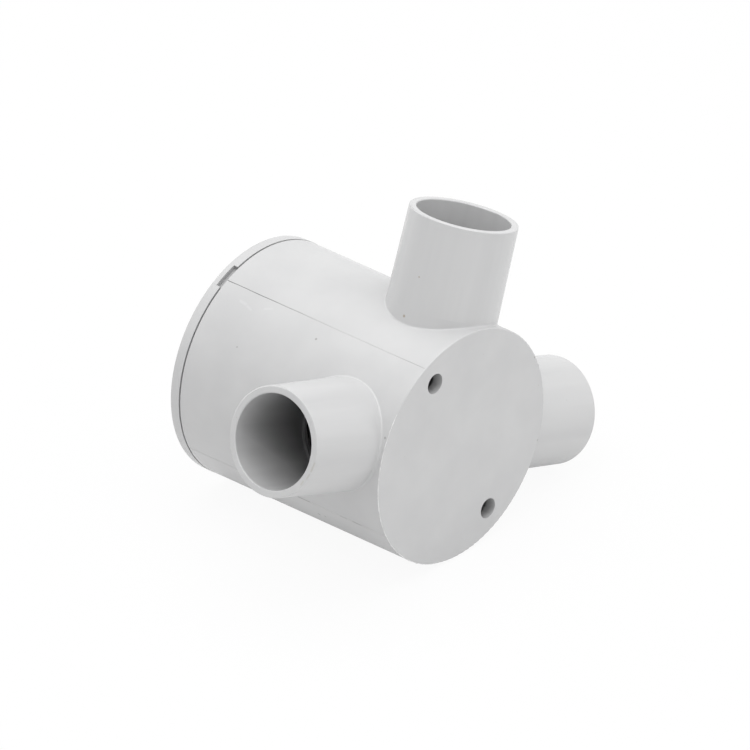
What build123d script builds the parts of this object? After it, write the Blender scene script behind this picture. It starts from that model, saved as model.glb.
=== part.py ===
from build123d import *
from math import radians, tan
import os

os.makedirs("parts", exist_ok=True)

# Deep round junction box for rigid conduit, with a left and a right socket in line and a tee socket
# between them. The flat base stands on the XY plane, the box's axis is +Z and the tee points along -Y.
# The lid seats on the rim and is held by two screws in threaded inserts. All sizes are millimetres.

# Cup
base_diameter = 65.0
cup_draft = 0.25             # degrees, the cup widens towards its rim
rim_height = 68.7
wall = 2.5
floor_thickness = 3.0
base_edge_round = 0.35
floor_corner_round = 1.0

# Lid seat: a raised land inside the rim, so that a thin shadow gap shows outside it
shadow_gap = 0.5
seat_width = 1.0

# Conduit sockets, one moulding with the cup
conduit_diameter = 25.0
conduit_clearance = 0.05     # radial
socket_wall = 1.95           # at the mouth
socket_draft = 0.75          # degrees, the socket thickens towards its root
socket_reach = 57.9          # from the box's axis to a mouth
conduit_entry = 27.0         # from a mouth to the shoulder that stops the conduit
stop_ledge = 0.85            # radial width of that shoulder
socket_base_gap = 1.4        # from the base plane up to the sockets
socket_root_fillet = 0.5
mouth_round = 0.3
socket_headings = {"left": 180, "right": 0, "tee": 270}

# Fixing holes through the floor, on one diagonal
fixing_hole_diameter = 5.6
fixing_hole_inset = 6.95     # from the cup's outside at the base in to a hole's axis
fixing_hole_heading = 46.5

# Screw pillars up the inside of the wall, on the other diagonal
pillar_inset = 7.1           # from the cup's outside at the base in to a pillar's axis
pillar_diameter = 9.0
pillar_web = 5.0
pillar_drop = 3.0            # from the lid seat down to a pillar's top
pillar_headings = {"right": -45, "left": 135}
screw_hole_depth = 14.0

# Threaded inserts in the pillars
insert_diameter = 6.2
insert_length = 9.0
insert_set_back = 0.2

# Lid
lid_thickness = 3.0
lid_overhang = 0.05          # beyond the rim
lid_edge_round = 0.4
spigot_clearance = 0.15      # radial, inside the rim
spigot_wall = 1.6
spigot_depth = 2.4
boss_diameter = 8.0
boss_gap = 0.1               # between a boss and its pillar, so that the lid bears on the rim
lid_hole_diameter = 4.5

# Pry notch in the lid's lower edge, just past the diagonal towards the tee
notch_width = 7.5
notch_height = 1.3
notch_depth = 1.4
notch_heading = 227.0

# Lid screws
thread_diameter = 4.0
thread_clearance = 0.05      # radial, in the insert
screw_length = 16.0
screw_head_diameter = 8.0
screw_head_height = 2.6
screw_head_side = 0.9
cross_recess_span = 4.2
cross_recess_width = 0.95
cross_recess_depth = 1.5
cross_recess_draft = 8.0     # degrees

# Sizes worked out from those above
base_radius = base_diameter / 2
rim_radius = base_radius + rim_height * tan(radians(cup_draft))
seat_height = rim_height + shadow_gap
lid_top = seat_height + lid_thickness
fixing_hole_circle = base_radius - fixing_hole_inset
pillar_circle = base_radius - pillar_inset
inner_base_radius = base_radius - wall
inner_rim_radius = rim_radius - wall
bore_radius = conduit_diameter / 2 + conduit_clearance
socket_mouth_radius = bore_radius + socket_wall
socket_root_radius = socket_mouth_radius + (socket_reach - base_radius) * tan(radians(socket_draft))
socket_axis_radius = socket_mouth_radius + socket_reach * tan(radians(socket_draft))
socket_axis_height = socket_base_gap + socket_root_radius
pillar_top = seat_height - pillar_drop
dome_rise = screw_head_height - screw_head_side
dome_radius = (dome_rise**2 + (screw_head_diameter / 2) ** 2) / (2 * dome_rise)


def heading_vector(heading):
    """Unit vector in the XY plane at a heading in degrees."""
    return Vector(1, 0, 0).rotate(Axis.Z, heading)


def socket_plane(heading):
    """Plane through the box's axis whose normal runs along a socket and out of its mouth."""
    return Plane(origin=(0, 0, socket_axis_height), x_dir=(0, 0, 1), z_dir=heading_vector(heading))


def mouth_edges(part, heading):
    """The two circles round a socket's mouth."""
    return part.edges().filter_by(GeomType.CIRCLE).sort_by(Axis((0, 0, 0), heading_vector(heading)))[-2:]


def on_pillar(heading, height):
    """Point on a pillar's axis at a height."""
    return heading_vector(heading) * pillar_circle + Vector(0, 0, height)


# Box body: the cup, its sockets and its pillars are one moulding
with BuildPart() as box_body:
    # Outside of the cup, solid for now
    with BuildSketch(Plane.XZ):
        with BuildLine():
            Polyline(
                (0, 0),
                (base_radius, 0),
                (rim_radius, rim_height),
                (inner_rim_radius + seat_width, rim_height),
                (inner_rim_radius + seat_width, seat_height),
                (0, seat_height),
                close=True,
            )
        make_face()
    revolve(axis=Axis.Z)

    # Outside of the sockets, blended into the cup
    with Locations([socket_plane(heading) for heading in socket_headings.values()]):
        Cone(
            bottom_radius=socket_axis_radius,
            top_radius=socket_mouth_radius,
            height=socket_reach,
            align=(Align.CENTER, Align.CENTER, Align.MIN),
        )
    root_edges = box_body.edges(Select.LAST).filter_by(GeomType.BSPLINE)
    fillet(root_edges, radius=socket_root_fillet)
    fillet(box_body.faces().sort_by(Axis.Z)[0].outer_wire().edges(), radius=base_edge_round)

    # Inside of the cup
    with BuildSketch(Plane.XZ):
        with BuildLine():
            Polyline(
                (0, floor_thickness),
                (inner_base_radius, floor_thickness),
                (inner_rim_radius, seat_height),
                (0, seat_height),
                close=True,
            )
        make_face()
    revolve(axis=Axis.Z, mode=Mode.SUBTRACT)
    floor_edge = box_body.edges(Select.LAST).filter_by(GeomType.CIRCLE).sort_by(Axis.Z)[0]
    fillet(floor_edge, radius=floor_corner_round)

    # Pillars, each joined to the wall by a web
    with BuildSketch(Plane.XY.offset(floor_thickness)):
        for heading in pillar_headings.values():
            with PolarLocations(pillar_circle, 1, start_angle=heading):
                Circle(pillar_diameter / 2)
                Rectangle(
                    base_radius - wall / 2 - pillar_circle,
                    pillar_web,
                    align=(Align.MIN, Align.CENTER),
                )
    extrude(amount=pillar_top - floor_thickness)

    # Conduit bores down to their stops, and the smaller ways on into the cup
    with Locations([socket_plane(heading) for heading in socket_headings.values()]):
        Cylinder(
            bore_radius - stop_ledge,
            socket_reach,
            align=(Align.CENTER, Align.CENTER, Align.MIN),
            mode=Mode.SUBTRACT,
        )
    with Locations(
        [socket_plane(heading).offset(socket_reach - conduit_entry) for heading in socket_headings.values()]
    ):
        Cylinder(
            bore_radius,
            conduit_entry,
            align=(Align.CENTER, Align.CENTER, Align.MIN),
            mode=Mode.SUBTRACT,
        )
    for heading in socket_headings.values():
        fillet(mouth_edges(box_body, heading), radius=mouth_round)

    # Fixing holes through the floor
    with PolarLocations(fixing_hole_circle, 2, start_angle=fixing_hole_heading):
        Cylinder(
            fixing_hole_diameter / 2,
            floor_thickness,
            align=(Align.CENTER, Align.CENTER, Align.MIN),
            mode=Mode.SUBTRACT,
        )

    # Pockets for the inserts, with a narrower hole below for the screw's tip
    with Locations([on_pillar(heading, pillar_top) for heading in pillar_headings.values()]):
        CounterBoreHole(
            radius=thread_diameter / 2 + thread_clearance,
            counter_bore_radius=insert_diameter / 2,
            counter_bore_depth=insert_length + insert_set_back,
            depth=screw_hole_depth,
        )

# Lid: a disc with a locating spigot and two screw bosses under it
with BuildPart() as lid:
    with BuildSketch(Plane.XY.offset(seat_height)):
        Circle(rim_radius + lid_overhang)
    extrude(amount=lid_thickness)
    fillet(lid.edges().sort_by(Axis.Z)[-1], radius=lid_edge_round)
    with BuildSketch(Plane.XY.offset(seat_height)):
        Circle(inner_rim_radius - spigot_clearance)
        Circle(inner_rim_radius - spigot_clearance - spigot_wall, mode=Mode.SUBTRACT)
    extrude(amount=-spigot_depth)
    with BuildSketch(Plane.XY.offset(seat_height)):
        with Locations([on_pillar(heading, 0) for heading in pillar_headings.values()]):
            Circle(boss_diameter / 2)
    extrude(amount=-(pillar_drop - boss_gap))
    with Locations([on_pillar(heading, lid_top) for heading in pillar_headings.values()]):
        Hole(radius=lid_hole_diameter / 2)
    with PolarLocations(rim_radius + lid_overhang, 1, start_angle=notch_heading):
        with Locations((0, 0, seat_height)):
            Box(
                2 * notch_depth,
                notch_width,
                notch_height,
                align=(Align.CENTER, Align.CENTER, Align.MIN),
                mode=Mode.SUBTRACT,
            )

box_body.part.label = "box_body"
export_step(box_body.part, "parts/box_body.step")
lid.part.label = "lid"
export_step(lid.part, "parts/lid.step")

# A brass insert and a lid screw at each pillar
for side, heading in pillar_headings.items():
    insert_top = pillar_top - insert_set_back
    with BuildPart() as brass_insert:
        with BuildSketch(Plane(on_pillar(heading, insert_top))):
            Circle(insert_diameter / 2)
            Circle(thread_diameter / 2 + thread_clearance, mode=Mode.SUBTRACT)
        extrude(amount=-insert_length)
    brass_insert.part.label = f"brass_insert_{side}"
    export_step(brass_insert.part, f"parts/brass_insert_{side}.step")

    head_plane = Plane(on_pillar(heading, lid_top))
    with BuildPart() as lid_screw:
        # Pan head: a short straight side under a dome
        with BuildSketch(Plane(head_plane.origin, x_dir=(1, 0, 0), z_dir=(0, -1, 0))):
            with BuildLine():
                Polyline(
                    (0, screw_head_height),
                    (0, 0),
                    (screw_head_diameter / 2, 0),
                    (screw_head_diameter / 2, screw_head_side),
                )
                RadiusArc(
                    (screw_head_diameter / 2, screw_head_side),
                    (0, screw_head_height),
                    -dome_radius,
                )
            make_face()
        revolve(axis=Axis(head_plane.origin, (0, 0, 1)))
        with BuildSketch(head_plane):
            Circle(thread_diameter / 2)
        extrude(amount=-screw_length)
        with BuildSketch(head_plane.offset(screw_head_height)):
            Rectangle(cross_recess_span, cross_recess_width)
            Rectangle(cross_recess_width, cross_recess_span)
        extrude(amount=-cross_recess_depth, taper=cross_recess_draft, mode=Mode.SUBTRACT)
    lid_screw.part.label = f"lid_screw_{side}"
    export_step(lid_screw.part, f"parts/lid_screw_{side}.step")
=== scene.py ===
import math

import bmesh
import bpy
from mathutils import Matrix, Vector, noise


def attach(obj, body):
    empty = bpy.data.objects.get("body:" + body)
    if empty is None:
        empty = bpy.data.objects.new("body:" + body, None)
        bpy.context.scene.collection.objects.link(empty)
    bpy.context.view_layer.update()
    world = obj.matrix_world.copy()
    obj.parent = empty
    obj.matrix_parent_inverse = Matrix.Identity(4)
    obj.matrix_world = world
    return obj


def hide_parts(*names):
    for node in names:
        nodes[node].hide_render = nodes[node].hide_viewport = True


# Deep round junction box for conduit. It stands on its base in the frame, with its axis along +Z and its
# tee socket along -Y. The photo's world is turned instead, so that the box lies on its side in it.
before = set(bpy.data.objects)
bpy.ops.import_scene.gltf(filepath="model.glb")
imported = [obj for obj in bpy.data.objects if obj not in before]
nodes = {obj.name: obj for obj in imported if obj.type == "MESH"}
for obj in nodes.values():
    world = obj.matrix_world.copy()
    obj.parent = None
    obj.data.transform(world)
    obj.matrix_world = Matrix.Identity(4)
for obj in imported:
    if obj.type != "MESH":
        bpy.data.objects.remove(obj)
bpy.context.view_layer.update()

# Sizes of the box, in millimetres. MM turns them into metres.
MM = 0.001
BASE_RADIUS = 32.5
CUP_DRAFT = math.tan(math.radians(0.25))
RIM_HEIGHT = 68.7
LID_TOP = 72.2
PILLAR_CIRCLE = 25.4
PILLAR_HEADINGS = {"left": 135, "right": -45}
SOCKET_AXIS_HEIGHT = 16.2325
SOCKET_REACH = 57.9
SOCKET_ROOT = 33.3
BORE_RADIUS = 12.55
INSERT_TOP = 66.0
THREAD_PITCH = 0.7

# Upwards in the photo
PHOTO_UP = Vector((-0.3302, -0.9439, 0.0))


# ---------------------------------------------------------------- node helpers
def add(tree, kind, inputs=None, **settings):
    """A new node with its settings, and its inputs as values or as sockets to link."""
    node = tree.nodes.new(kind)
    for key, value in settings.items():
        setattr(node, key, value)
    for key, value in (inputs or {}).items():
        if isinstance(value, bpy.types.NodeSocket):
            tree.links.new(value, node.inputs[key])
        else:
            node.inputs[key].default_value = value
    return node


def ramp(tree, value, low, high, to_low=0.0, to_high=1.0):
    """A value stretched from low..high to to_low..to_high, clamped."""
    inputs = {"Value": value, "From Min": low, "From Max": high, "To Min": to_low, "To Max": to_high}
    return add(tree, "ShaderNodeMapRange", inputs).outputs["Result"]


def math_node(tree, operation, a, b=0.0):
    return add(tree, "ShaderNodeMath", {0: a, 1: b}, operation=operation).outputs[0]


def vector_node(tree, operation, inputs, output="Vector"):
    return add(tree, "ShaderNodeVectorMath", inputs, operation=operation).outputs[output]


def mix_colour(tree, factor, a, b):
    node = add(tree, "ShaderNodeMix", data_type="RGBA")
    sockets = {socket.identifier: socket for socket in node.inputs}
    for key, value in (("Factor_Float", factor), ("A_Color", a), ("B_Color", b)):
        if isinstance(value, bpy.types.NodeSocket):
            tree.links.new(value, sockets[key])
        else:
            sockets[key].default_value = value
    return next(socket for socket in node.outputs if socket.identifier == "Result_Color")


def own_place(tree):
    """A point's place in the piece's own coordinates, so that a texture stays put as the piece moves."""
    return add(tree, "ShaderNodeTexCoord").outputs["Object"]


def noise_tone(tree, scale, detail):
    """Cloudy tone between 0 and 1, most of it near 0.5."""
    inputs = {"Vector": own_place(tree), "Scale": scale, "Detail": detail}
    return add(tree, "ShaderNodeTexNoise", inputs).outputs["Fac"]


def grey(level):
    return (level, level, level, 1)


def new_material(name, roughness, metallic=0.0):
    material = bpy.data.materials.new(name)
    material.use_nodes = True
    shader = material.node_tree.nodes["Principled BSDF"]
    shader.inputs["Roughness"].default_value = roughness
    shader.inputs["Metallic"].default_value = metallic
    shader.inputs["IOR"].default_value = 1.5
    return material, material.node_tree, shader


# ---------------------------------------------------------------- marks on the plastic
# Small specks of dirt, and small pits and chips with their shade painted in as dark spots, in millimetres: a
# point and a radius
BROWN_SPECKS = [((-14.85, -31.01, 16.65), 0.42), ((-14.65, -42.25, 14.96), 0.25)]
GREY_SPECKS = [
    ((-26.27, -19.39, 34.02), 0.36),
    ((-31.11, -10.21, 54.73), 0.25),
    ((-19.14, 26.41, 25.57), 0.5),
    ((-19.46, 26.15, 23.21), 0.35),
    ((-22.06, 24.27, 68.7), 0.3),
    ((22.44, -22.99, 0.0), 0.4),
    ((25.0, -20.59, 0.0), 0.3),
    ((32.33, 0.76, 0.0), 0.45),
    ((-32.18, -4.56, 0.88), 0.35),
]

# Smears on the left socket's mouth and pale scuffs near the lid, in millimetres: two ends and half a width
SMEARS = [
    ((-57.83, 0.65, 1.75), (-57.9, 3.02, 2.29), 0.3),
    ((-57.9, 3.92, 2.54), (-57.9, 5.36, 3.15), 0.2),
    ((-57.9, 6.35, 3.99), (-57.9, 7.33, 4.45), 0.3),
]
SCUFFS = [
    ((-25.74, -20.27, 61.06), (-25.85, -20.12, 59.0), 0.45),
    ((-26.05, -19.85, 58.2), (-26.37, -19.41, 56.59), 0.35),
    ((-25.26, -20.82, 53.23), (-24.67, -21.5, 51.32), 0.35),
]
SMEAR_STRENGTH = 0.42
SCUFF_STRENGTH = 0.26

# Dashes of dirt in the seams away from the tee: height and half a length in millimetres, and strength
SEAM_DASHES = [(10.1, 1.9, 0.55), (14.7, 1.5, 0.35), (28.6, 2.6, 0.75)]


def spots(tree, place, marks):
    """1 at small round marks, 0 elsewhere."""
    total = 0.0
    for point, radius in marks:
        distance = vector_node(tree, "DISTANCE", {0: place, 1: Vector(point) * MM}, "Value")
        spot = ramp(tree, distance, radius * 0.3 * MM, radius * 1.2 * MM, 1.0, 0.0)
        total = math_node(tree, "MAXIMUM", total, spot)
    return total


def streaks(tree, place, marks):
    """1 along short straight marks, 0 elsewhere."""
    total = 0.0
    for start, end, half in marks:
        run = (Vector(end) - Vector(start)) * MM
        offset = vector_node(tree, "SUBTRACT", {0: place, 1: Vector(start) * MM})
        along = vector_node(tree, "DOT_PRODUCT", {0: offset, 1: run}, "Value")
        share = ramp(tree, along, 0.0, run.length_squared)
        nearest = vector_node(tree, "SCALE", {0: run, "Scale": share})
        distance = vector_node(tree, "DISTANCE", {0: offset, 1: nearest}, "Value")
        streak = ramp(tree, distance, half * 0.2 * MM, half * 1.3 * MM, 1.0, 0.0)
        total = math_node(tree, "MAXIMUM", total, streak)
    return total


# ---------------------------------------------------------------- painted shade in the insides
# Painted shade: how far the plastic's colour goes towards the dark shade tone at most, in the cup and the
# tee, the side sockets and the notch
CUP_SHADE = 0.62
SIDE_SHADE = 0.8
NOTCH_SHADE = 0.22
PAINTED_SHADE_TONE = (0.10, 0.10, 0.105, 1)

# Where the painted shade lies, in millimetres
CUP_INSIDE = 30.5
NOTCH_MOUTH = 32.7
NOTCH_BOTTOM = RIM_HEIGHT + 0.45
NOTCH_TOP = RIM_HEIGHT + 1.85
BORE_INSIDE = BORE_RADIUS + 0.25
SOCKET_DEPTH = 45.0


def painted_inside_shade(tree, place):
    """How much painted shade darkens a point of the box or lid: 0 outside, and most deep in the side sockets.
    """
    x, y, z = add(tree, "ShaderNodeSeparateXYZ", {"Vector": place}).outputs
    up = math_node(tree, "SUBTRACT", z, SOCKET_AXIS_HEIGHT * MM)

    def length(a, b):
        squares = [math_node(tree, "MULTIPLY", side, side) for side in (a, b)]
        return math_node(tree, "SQRT", math_node(tree, "ADD", *squares))

    def below(value, edge):
        return math_node(tree, "LESS_THAN", value, edge * MM)

    # Painted shade in the cup and its fixing holes, from the base's underside up, fading out towards the rim
    radius = length(x, y)
    from_base = ramp(tree, z, 0.3 * MM, 4.0 * MM, 0.0, CUP_SHADE)
    to_rim = ramp(tree, z, 32.0 * MM, 60.0 * MM, 1.0, 0.0)
    total = math_node(tree, "MULTIPLY", below(radius, CUP_INSIDE), from_base)
    total = math_node(tree, "MULTIPLY", total, to_rim)

    # Painted shade in the pry notch in the lid
    band = math_node(tree, "SUBTRACT", below(z, NOTCH_TOP), below(z, NOTCH_BOTTOM))
    notch = math_node(tree, "MULTIPLY", band, below(radius, NOTCH_MOUTH))
    total = math_node(tree, "MAXIMUM", total, math_node(tree, "MULTIPLY", notch, NOTCH_SHADE))

    # Painted shade in the sockets, darker from one depth to another. Along the side sockets' walls away from
    # the tee the painted shade starts deeper, as if light reached further in there.
    side_start = ramp(tree, y, 1.0 * MM, 10.0 * MM, 0.0, 18.0 * MM)
    side_end = ramp(tree, y, 1.0 * MM, 10.0 * MM, 24.0 * MM, 30.0 * MM)
    for across, along, start, end, shade in (
        (y, math_node(tree, "ABSOLUTE", x), side_start, side_end, SIDE_SHADE),
        (x, math_node(tree, "MULTIPLY", y, -1.0), 5.0 * MM, 27.0 * MM, CUP_SHADE),
    ):
        depth = math_node(tree, "SUBTRACT", SOCKET_REACH * MM, along)
        deepening = ramp(tree, depth, start, end, 0.0, shade)
        in_bore = below(length(across, up), BORE_INSIDE)
        in_socket = math_node(tree, "MULTIPLY", in_bore, below(depth, SOCKET_DEPTH))
        total = math_node(tree, "MAXIMUM", total, math_node(tree, "MULTIPLY", in_socket, deepening))
    return total


# ---------------------------------------------------------------- materials
def grey_pvc():
    """Moulded PVC with faint flow marks, a few specks in it, small marks of wear, and painted shade that
    darkens its insides.
    """
    material, tree, shader = new_material("grey_pvc", 0.27)
    place = own_place(tree)

    # Flow marks: cloudy on the cup, drawn out along each socket. The three scales are per metre.
    cloudy, fine, drawn_out = 75.0, 210.0, 9.0
    x, y, _ = add(tree, "ShaderNodeSeparateXYZ", {"Vector": place}).outputs
    on_tee = math_node(tree, "LESS_THAN", y, -SOCKET_ROOT * MM)
    on_side = math_node(tree, "GREATER_THAN", math_node(tree, "ABSOLUTE", x), SOCKET_ROOT * MM)
    scale = mix_colour(tree, on_tee, (cloudy, cloudy, cloudy, 1), (fine, drawn_out, fine, 1))
    scale = mix_colour(tree, on_side, scale, (drawn_out, fine, fine, 1))
    flow = vector_node(tree, "MULTIPLY", {0: place, 1: scale})
    cloud = add(tree, "ShaderNodeTexNoise", {"Vector": flow, "Scale": 1.0, "Detail": 3.0, "Roughness": 0.5})
    tone = ramp(tree, cloud.outputs["Fac"], 0.32, 0.68)
    colour = mix_colour(tree, tone, (0.552, 0.553, 0.557, 1), (0.585, 0.586, 0.588, 1))

    # Specks in the plastic, at the middle of a few cells
    cells = add(tree, "ShaderNodeTexVoronoi", {"Vector": place, "Scale": 260.0, "Randomness": 1.0}).outputs
    near = ramp(tree, cells["Distance"], 0.035, 0.06, 1.0, 0.0)
    pick = add(tree, "ShaderNodeSeparateColor", {"Color": cells["Color"]}).outputs["Red"]
    speck = math_node(tree, "MULTIPLY", near, ramp(tree, pick, 0.965, 0.97))
    colour = mix_colour(tree, math_node(tree, "MULTIPLY", speck, 0.6), colour, (0.30, 0.28, 0.25, 1))

    # Marks of wear and dirt, with the shade of small pits and chips painted in as dark spots
    colour = mix_colour(tree, spots(tree, place, GREY_SPECKS), colour, (0.33, 0.325, 0.32, 1))
    colour = mix_colour(tree, spots(tree, place, BROWN_SPECKS), colour, (0.36, 0.30, 0.23, 1))
    smear = math_node(tree, "MULTIPLY", streaks(tree, place, SMEARS), SMEAR_STRENGTH)
    colour = mix_colour(tree, smear, colour, (0.42, 0.40, 0.34, 1))
    scuff = math_node(tree, "MULTIPLY", streaks(tree, place, SCUFFS), SCUFF_STRENGTH)
    colour = mix_colour(tree, scuff, colour, (0.70, 0.70, 0.71, 1))

    # Painted shade, darker deep in the cup, its fixing holes, the sockets and the lid's pry notch
    colour = mix_colour(tree, painted_inside_shade(tree, place), colour, PAINTED_SHADE_TONE)
    tree.links.new(colour, shader.inputs["Base Color"])
    return material


def seam_pvc():
    """The seams hold a little dirt: on the tee's side most of it near the lid, elsewhere in dashes."""
    material, tree, shader = new_material("seam_pvc", 0.5)
    _, y, z = add(tree, "ShaderNodeSeparateXYZ", {"Vector": own_place(tree)}).outputs
    by_lid = ramp(tree, z, 32.0 * MM, 64.0 * MM, 0.06, 1.0)
    by_base = ramp(tree, z, 4.0 * MM, 14.0 * MM, 0.45, 0.0)
    patchy = ramp(tree, noise_tone(tree, 230.0, 4.0), 0.3, 0.6, 0.6, 1.0)
    dirt = math_node(tree, "MULTIPLY", math_node(tree, "MAXIMUM", by_lid, by_base), patchy)
    dirt = math_node(tree, "MULTIPLY", dirt, ramp(tree, y, -1.0 * MM, 1.0 * MM, 1.0, 0.06))
    away_from_tee = ramp(tree, y, 0.0, 10.0 * MM)
    for height, half, strength in SEAM_DASHES:
        distance = math_node(tree, "ABSOLUTE", math_node(tree, "SUBTRACT", z, height * MM))
        dash = ramp(tree, distance, half * 0.7 * MM, half * MM, strength, 0.0)
        dirt = math_node(tree, "MAXIMUM", dirt, math_node(tree, "MULTIPLY", dash, away_from_tee))
    tree.links.new(mix_colour(tree, dirt, grey(0.55), grey(0.09)), shader.inputs["Base Color"])
    return material


def flash_pvc():
    """Thin flash, coloured paler than the moulding."""
    material, tree, shader = new_material("flash_pvc", 0.35)
    tone = ramp(tree, noise_tone(tree, 500.0, 2.0), 0.35, 0.65)
    tree.links.new(mix_colour(tree, tone, grey(0.60), grey(0.78)), shader.inputs["Base Color"])
    return material


def metal(name, roughness, noise_scale, colours, roughnesses, grain=0.0):
    """A metal that varies between two colours and two roughnesses, with a grain's depth in millimetres."""
    material, tree, shader = new_material(name, roughness, metallic=1.0)
    tone = noise_tone(tree, noise_scale, 4.0)
    colour = mix_colour(tree, ramp(tree, tone, 0.3, 0.7), *colours)
    tree.links.new(colour, shader.inputs["Base Color"])
    tree.links.new(ramp(tree, tone, 0.3, 0.7, *roughnesses), shader.inputs["Roughness"])
    if grain:
        bump = add(tree, "ShaderNodeBump", {"Height": tone, "Strength": 0.2, "Distance": grain * MM})
        tree.links.new(bump.outputs["Normal"], shader.inputs["Normal"])
    return material


BRASS_TONES = (0.62, 0.44, 0.19, 1), (0.78, 0.60, 0.31, 1)
ZINC_TONES = (0.52, 0.53, 0.55, 1), (0.68, 0.69, 0.71, 1)
PVC, SEAM, FLASH = grey_pvc(), seam_pvc(), flash_pvc()
BRASS = metal("turned_brass", 0.3, 500.0, BRASS_TONES, (0.24, 0.38))
ZINC = metal("zinc_plated_steel", 0.34, 900.0, ZINC_TONES, (0.27, 0.42), grain=0.03)

for name in ("box_body", "lid"):
    for material_slot in nodes[name].material_slots:
        material_slot.material = PVC


# ---------------------------------------------------------------- piece helpers
def piece(name, points, faces, finish, body, slot, smooth_angle=40.0):
    """A mesh piece from points in millimetres, riding on a body."""
    mesh = bpy.data.meshes.new(name)
    mesh.from_pydata([Vector(p) * MM for p in points], [], faces)
    mesh.materials.append(finish)
    bm = bmesh.new()
    bm.from_mesh(mesh)
    bmesh.ops.recalc_face_normals(bm, faces=bm.faces)
    for face in bm.faces:
        face.smooth = True
    for edge in bm.edges:
        edge.smooth = len(edge.link_faces) == 2 and edge.calc_face_angle() < math.radians(smooth_angle)
    bm.to_mesh(mesh)
    bm.free()
    made = bpy.data.objects.new(name, mesh)
    bpy.context.scene.collection.objects.link(made)
    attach(made, body)
    return made


def rings(rows, closed_rows=False):
    """Points, and the faces that join them, of rows that are closed loops of the same length."""
    count = len(rows[0])
    points = [p for row in rows for p in row]
    faces = []
    for r in range(len(rows) if closed_rows else len(rows) - 1):
        a, b = r * count, (r + 1) % len(rows) * count
        faces += [(a + i, a + (i + 1) % count, b + (i + 1) % count, b + i) for i in range(count)]
    return points, faces


def bar(rows, first=0):
    """A bar with closed ends through rows of four points. Its points are numbered from first."""
    points, faces = rings(rows)
    faces += [(0, 1, 2, 3), tuple(len(points) - 4 + j for j in (3, 2, 1, 0))]
    return points, [tuple(first + k for k in face) for face in faces]


def round_axis(heading):
    """Unit vectors outwards and along the wall at a heading in degrees round the box's axis."""
    angle = math.radians(heading)
    out = Vector((math.cos(angle), math.sin(angle), 0))
    return out, Vector((-out.y, out.x, 0))


# ---------------------------------------------------------------- mould seams and flash
def mould_seams():
    """A low ridge up the cup at each joint line of the mould, between the sockets."""
    steps, root = 140, -0.04
    points, faces = [], []
    for heading in (45, 135, 225, 315):
        out, along = round_axis(heading)
        rows = []
        for i in range(steps + 1):
            z = 0.4 + (RIM_HEIGHT - 0.45) * i / steps
            wander = noise.noise((heading, 0, z * 0.15)) * 0.08
            crest = 0.022 + 0.02 * noise.noise((heading, 7, z * 0.5))
            half = 0.085 + 0.03 * noise.noise((heading, 13, z * 0.4)) + 0.035 * z / RIM_HEIGHT
            radius = BASE_RADIUS + z * CUP_DRAFT
            section = ((-half, root), (-half * 0.5, crest), (half * 0.5, crest), (half, root))
            rows.append([
                out * (radius + rise) + along * (side + wander) + Vector((0, 0, z)) for side, rise in section
            ])
        ridge_points, ridge_faces = bar(rows, len(points))
        points += ridge_points
        faces += ridge_faces
    piece("mould_seams", points, faces, SEAM, "box", "grey_plastic")


def base_flash():
    """A thin ragged fin left along part of the base's edge."""
    first_heading, span, steps, taper = 88.0, 112.0, 260, 12
    rows = []
    for i in range(steps + 1):
        heading = first_heading + span * i / steps
        out, _ = round_axis(heading)
        ragged = noise.noise((heading * 0.45, 3.0, 0.0)) + 0.6 * noise.noise((heading * 1.7, 9.0, 0.0))
        fade = min(1.0, i / taper, (steps - i) / taper)
        rise = fade * max(0.02, 0.10 + 0.16 * ragged)
        tip = 0.06 + 0.05 * noise.noise((heading * 0.8, 5.0, 0.0))
        section = ((32.20, 0.05), (32.43 + rise, tip), (32.45 + rise, tip + 0.10), (32.36, 0.40))
        rows.append([out * radius + Vector((0, 0, z)) for radius, z in section])
    piece("base_flash", *bar(rows), FLASH, "box", "grey_plastic")


# ---------------------------------------------------------------- screws and inserts
def thread_wave(z, angle):
    """A thread's profile at a height and an angle: 0 at the root, 1 at the crest, with flats at both."""
    phase = (z / THREAD_PITCH - angle / (2 * math.pi)) % 1.0
    return min(1.0, max(0.0, 1.75 * (1.0 - abs(2.0 * phase - 1.0)) - 0.3))


def on_pillar(heading, height):
    """Point on a pillar's axis."""
    angle = math.radians(heading)
    return Vector((PILLAR_CIRCLE * math.cos(angle), PILLAR_CIRCLE * math.sin(angle), height))


def lathe(profile, centre, columns):
    """Rings of points about an upright axis, from heights that each have a radius or a radius by angle."""
    rows = []
    for z, radius in profile:
        row = []
        for j in range(columns):
            angle = 2 * math.pi * j / columns
            r = radius(angle) if callable(radius) else radius
            row.append(centre + Vector((r * math.cos(angle), r * math.sin(angle), z)))
        rows.append(row)
    return rows


def cross_cutter(centre, top, floor):
    """Solid cross that fills a screw's recess, narrower towards its floor and with a pointed middle."""
    bm = bmesh.new()
    layers = []
    for z, half, arm in ((top, 0.50, 2.13), (floor, 0.30, 1.75)):
        outline = [(half, half), (half, arm), (-half, arm), (-half, half), (-arm, half), (-arm, -half)]
        outline += [(-x, -y) for x, y in outline]
        layers.append([bm.verts.new((centre + Vector((x, y, z))) * MM) for x, y in outline])
    upper, lower = layers
    point = bm.verts.new((centre + Vector((0, 0, floor - 0.35))) * MM)
    bm.faces.new(upper)
    for j in range(len(upper)):
        k = (j + 1) % len(upper)
        bm.faces.new((upper[j], upper[k], lower[k], lower[j]))
        bm.faces.new((lower[j], lower[k], point))
    bmesh.ops.recalc_face_normals(bm, faces=bm.faces)
    mesh = bpy.data.meshes.new("recess")
    bm.to_mesh(mesh)
    bm.free()
    cutter = bpy.data.objects.new("recess", mesh)
    bpy.context.scene.collection.objects.link(cutter)
    return cutter


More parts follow.
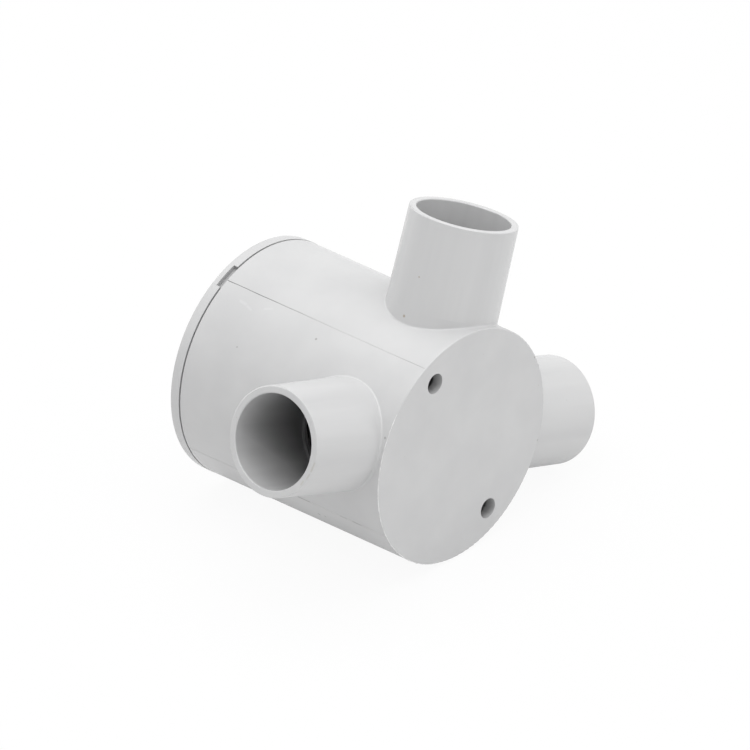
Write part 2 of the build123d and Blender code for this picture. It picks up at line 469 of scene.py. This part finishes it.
def lid_screw(side, heading):
    """M4 pan head machine screw with a cross recess and a rolled thread."""
    length, head_radius, head_side, dome_rise, recess_depth = 16.0, 4.0, 0.9, 1.68, 1.5
    thread_start, thread_root, thread_depth, tip_radius = 0.7, 1.6, 0.39, 1.5
    columns, dome_steps, thread_steps = 48, 14, 250
    centre = on_pillar(heading, LID_TOP)

    # Domed head with a short straight side, then the neck
    dome_radius = (dome_rise**2 + head_radius**2) / (2 * dome_rise)
    reach = math.asin((head_radius - 0.12) / dome_radius)
    profile = []
    for i in range(1, dome_steps + 1):
        t = reach * i / dome_steps
        profile.append((head_side + dome_rise - dome_radius * (1 - math.cos(t)), dome_radius * math.sin(t)))
    profile += [(head_side - 0.02, head_radius - 0.02), (head_side * 0.5, head_radius)]
    profile += [(0.12, head_radius), (0.0, head_radius - 0.12), (0.0, 2.2), (-0.12, 2.0), (-0.6, 1.78)]

    # Thread, chamfered at the screw's end
    def thread(z):
        limit = tip_radius + (z + length)
        return lambda angle: min(limit, thread_root + thread_depth * thread_wave(z, angle))

    for i in range(thread_steps + 1):
        z = -thread_start - (length - thread_start) * i / thread_steps
        profile.append((z, thread(z)))
    points, faces = rings(lathe(profile, centre, columns))
    faces += [tuple(range(columns)), tuple(reversed(range(len(points) - columns, len(points))))]
    screw = piece(f"machine_screw_{side}", points, faces, ZINC, f"screw_{side}", "zinc_steel", 50.0)

    # Cross recess
    head_top = head_side + dome_rise
    cutter = cross_cutter(centre, head_top + 0.2, head_top - recess_depth)
    cut = screw.modifiers.new("recess", "BOOLEAN")
    cut.operation, cut.object, cut.solver = "DIFFERENCE", cutter, "EXACT"
    bpy.context.view_layer.update()
    carved = bpy.data.meshes.new_from_object(screw.evaluated_get(bpy.context.evaluated_depsgraph_get()))
    screw.modifiers.clear()
    screw.data = carved
    bpy.data.objects.remove(cutter)
    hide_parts(f"lid_screw_{side}")


def threaded_insert(side, heading):
    """Brass insert with two knurled bands, a plain groove between them and a threaded bore."""
    length, outside, bore, teeth, columns = 9.0, 3.1, 2.05, 20, 80
    band_start, groove_start, groove_end, band_end = 0.3, 3.9, 5.1, 8.7
    outer_steps, inner_steps = 44, 130

    def outer_radius(depth):
        if groove_start <= depth <= groove_end:
            return outside - 0.25
        if not band_start < depth < band_end:
            return outside - 0.12
        slant = 1.6 * depth
        return lambda angle: outside - 0.16 * (
            1 - abs(math.sin(teeth * angle / 2 - slant)) * abs(math.sin(teeth * angle / 2 + slant))
        )

    def bore_radius(depth):
        return lambda angle: bore + 0.28 * (1 - thread_wave(-depth, angle))

    outer_depths = [0.15 + 0.2 * i for i in range(outer_steps)]
    inner_depths = [length - 0.3 - i * (length - 0.6) / inner_steps for i in range(inner_steps + 1)]
    profile = [(0.0, outside - 0.3)]
    profile += [(-depth, outer_radius(depth)) for depth in outer_depths]
    profile += [(-length, outside - 0.3), (-length, bore + 0.35)]
    profile += [(-depth, bore_radius(depth)) for depth in inner_depths]
    profile.append((0.0, bore + 0.35))
    points, faces = rings(lathe(profile, on_pillar(heading, INSERT_TOP), columns), closed_rows=True)
    insert = piece(f"knurled_insert_{side}", points, faces, BRASS, "box", "brass", 50.0)
    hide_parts(f"brass_insert_{side}")


mould_seams()
base_flash()
for side, heading in PILLAR_HEADINGS.items():
    lid_screw(side, heading)
    threaded_insert(side, heading)


# ---------------------------------------------------------------- stage, camera and light
# How far the ground goes towards plain white, seen directly, seen in a reflection and as light on the box.
# What is left shows the ground's shadow.
SHADOW_LIGHTENING = 0.93
MIRRORED_LIGHTENING = 0.3
BOUNCE_LIGHTENING = 0.15
PAPER = grey(0.8)
WHITE = grey(1)

# The box rests on this radius of its side, and the lamps stand round this point
SIDE_REST = 32.95
MIDDLE = Vector((0, 0, 35.0 * MM))

# Soft boxes in an even pale room: azimuth, elevation, side in metres, power in watts
ROOM_LIGHT = 0.632
LAMP_DISTANCE = 0.9
SOFT_BOXES = {
    "overhead": (0, 90, 1.0, 6.3),
    "base_end_high": (0, 52, 1.0, 0.55),
    "base_end": (0, 18, 0.7, 0.42),
    "base_corner": (42, 18, 0.7, 0.68),
    "lid_end": (180, 18, 0.7, 1.37),
}


def heading_up(azimuth, elevation):
    """Direction in the photo's world: azimuth from where the box's base faces, elevation above the ground."""
    a, e = math.radians(azimuth), math.radians(elevation)
    side = Vector((0, 0, 1)).cross(PHOTO_UP)
    return math.cos(e) * (math.cos(a) * Vector((0, 0, -1)) + math.sin(a) * side) + math.sin(e) * PHOTO_UP


def mirrored(tree, path):
    """1 for what is seen in a reflection or through a clear material."""
    return math_node(tree, "MAXIMUM", path["Is Glossy Ray"], path["Is Transmission Ray"])


def stage_plane(name, centre, normal, lit_paper):
    """A pale ground, seen only from its front. Lit paper also throws light back at the object."""
    across = normal.orthogonal().normalized()
    other = normal.cross(across)
    mesh = bpy.data.meshes.new(name)
    corners = [centre + across * x + other * y for x, y in ((-1, -1), (1, -1), (1, 1), (-1, 1))]
    mesh.from_pydata(corners, [], [(0, 1, 2, 3)])
    plane = bpy.data.objects.new(name, mesh)
    bpy.context.scene.collection.objects.link(plane)
    for rays in ("diffuse", "glossy", "transmission", "shadow", "volume_scatter"):
        setattr(plane, f"visible_{rays}", lit_paper)

    material = bpy.data.materials.new(name)
    material.use_nodes = True
    tree = material.node_tree
    tree.nodes.clear()
    white = add(tree, "ShaderNodeEmission", {"Color": WHITE, "Strength": 1.0}).outputs[0]
    paper = add(tree, "ShaderNodeBsdfDiffuse", {"Color": PAPER}).outputs[0]
    path = add(tree, "ShaderNodeLightPath").outputs
    share = math_node(tree, "MULTIPLY", path["Is Camera Ray"], SHADOW_LIGHTENING)
    for seen, lightening in (
        (mirrored(tree, path), MIRRORED_LIGHTENING),
        (path["Is Diffuse Ray"], BOUNCE_LIGHTENING),
    ):
        share = math_node(tree, "ADD", share, math_node(tree, "MULTIPLY", seen, lightening))
    pale = add(tree, "ShaderNodeMixShader", {0: share, 1: paper, 2: white}).outputs[0]
    behind = add(tree, "ShaderNodeNewGeometry").outputs["Backfacing"]
    clear = add(tree, "ShaderNodeBsdfTransparent").outputs[0]
    shown = add(tree, "ShaderNodeMixShader", {0: behind, 1: pale, 2: clear}).outputs[0]
    add(tree, "ShaderNodeOutputMaterial", {"Surface": shown})
    mesh.materials.append(material)


def pale_room():
    """World that lights the box evenly and looks plain white, seen directly or mirrored."""
    world = bpy.data.worlds.new("studio")
    bpy.context.scene.world = world
    world.use_nodes = True
    tree = world.node_tree
    tree.nodes.clear()
    soft = add(tree, "ShaderNodeBackground", {"Color": WHITE, "Strength": ROOM_LIGHT}).outputs[0]
    plain = add(tree, "ShaderNodeBackground", {"Color": WHITE, "Strength": 1.0}).outputs[0]
    path = add(tree, "ShaderNodeLightPath").outputs
    seen = math_node(tree, "MAXIMUM", path["Is Camera Ray"], mirrored(tree, path))
    sky = add(tree, "ShaderNodeMixShader", {0: seen, 1: soft, 2: plain}).outputs[0]
    add(tree, "ShaderNodeOutputWorld", {"Surface": sky})


def soft_box(name, azimuth, elevation, side, power):
    light = bpy.data.lights.new(name, "AREA")
    light.shape = "SQUARE"
    light.size = side
    light.energy = power
    lamp = bpy.data.objects.new(name, light)
    bpy.context.scene.collection.objects.link(lamp)
    towards = heading_up(azimuth, elevation)
    lamp.location = MIDDLE + towards * LAMP_DISTANCE
    lamp.rotation_mode = "QUATERNION"
    lamp.rotation_quaternion = towards.to_track_quat("Z", "Y")
    lamp.visible_camera = False


def photo_camera():
    """Camera with the photo's place, lens and upright."""
    camera = bpy.data.objects.new("camera", bpy.data.cameras.new("camera"))
    bpy.context.scene.collection.objects.link(camera)
    camera.data.sensor_width = 36.0
    camera.data.lens = 510.24
    camera.data.clip_start = 0.1
    camera.data.clip_end = 20.0
    camera.location = Vector((-2.144502, -0.731299, -1.556434))
    aim = Vector((0.002365, -0.007346, 0.034151))
    back = (camera.location - aim).normalized()
    right = PHOTO_UP.cross(back).normalized()
    camera.rotation_mode = "QUATERNION"
    camera.rotation_quaternion = Matrix((right, back.cross(right), back)).transposed().to_quaternion()
    bpy.context.scene.camera = camera


stage_plane("ground_under_side", PHOTO_UP * -SIDE_REST * MM + MIDDLE, PHOTO_UP.normalized(), True)
stage_plane("ground_under_base", Vector((0, 0, -0.1 * MM)), Vector((0, 0, 1)), False)
pale_room()
for name, settings in SOFT_BOXES.items():
    soft_box(name, *settings)
photo_camera()
bpy.context.scene.view_settings.view_transform = "Standard"
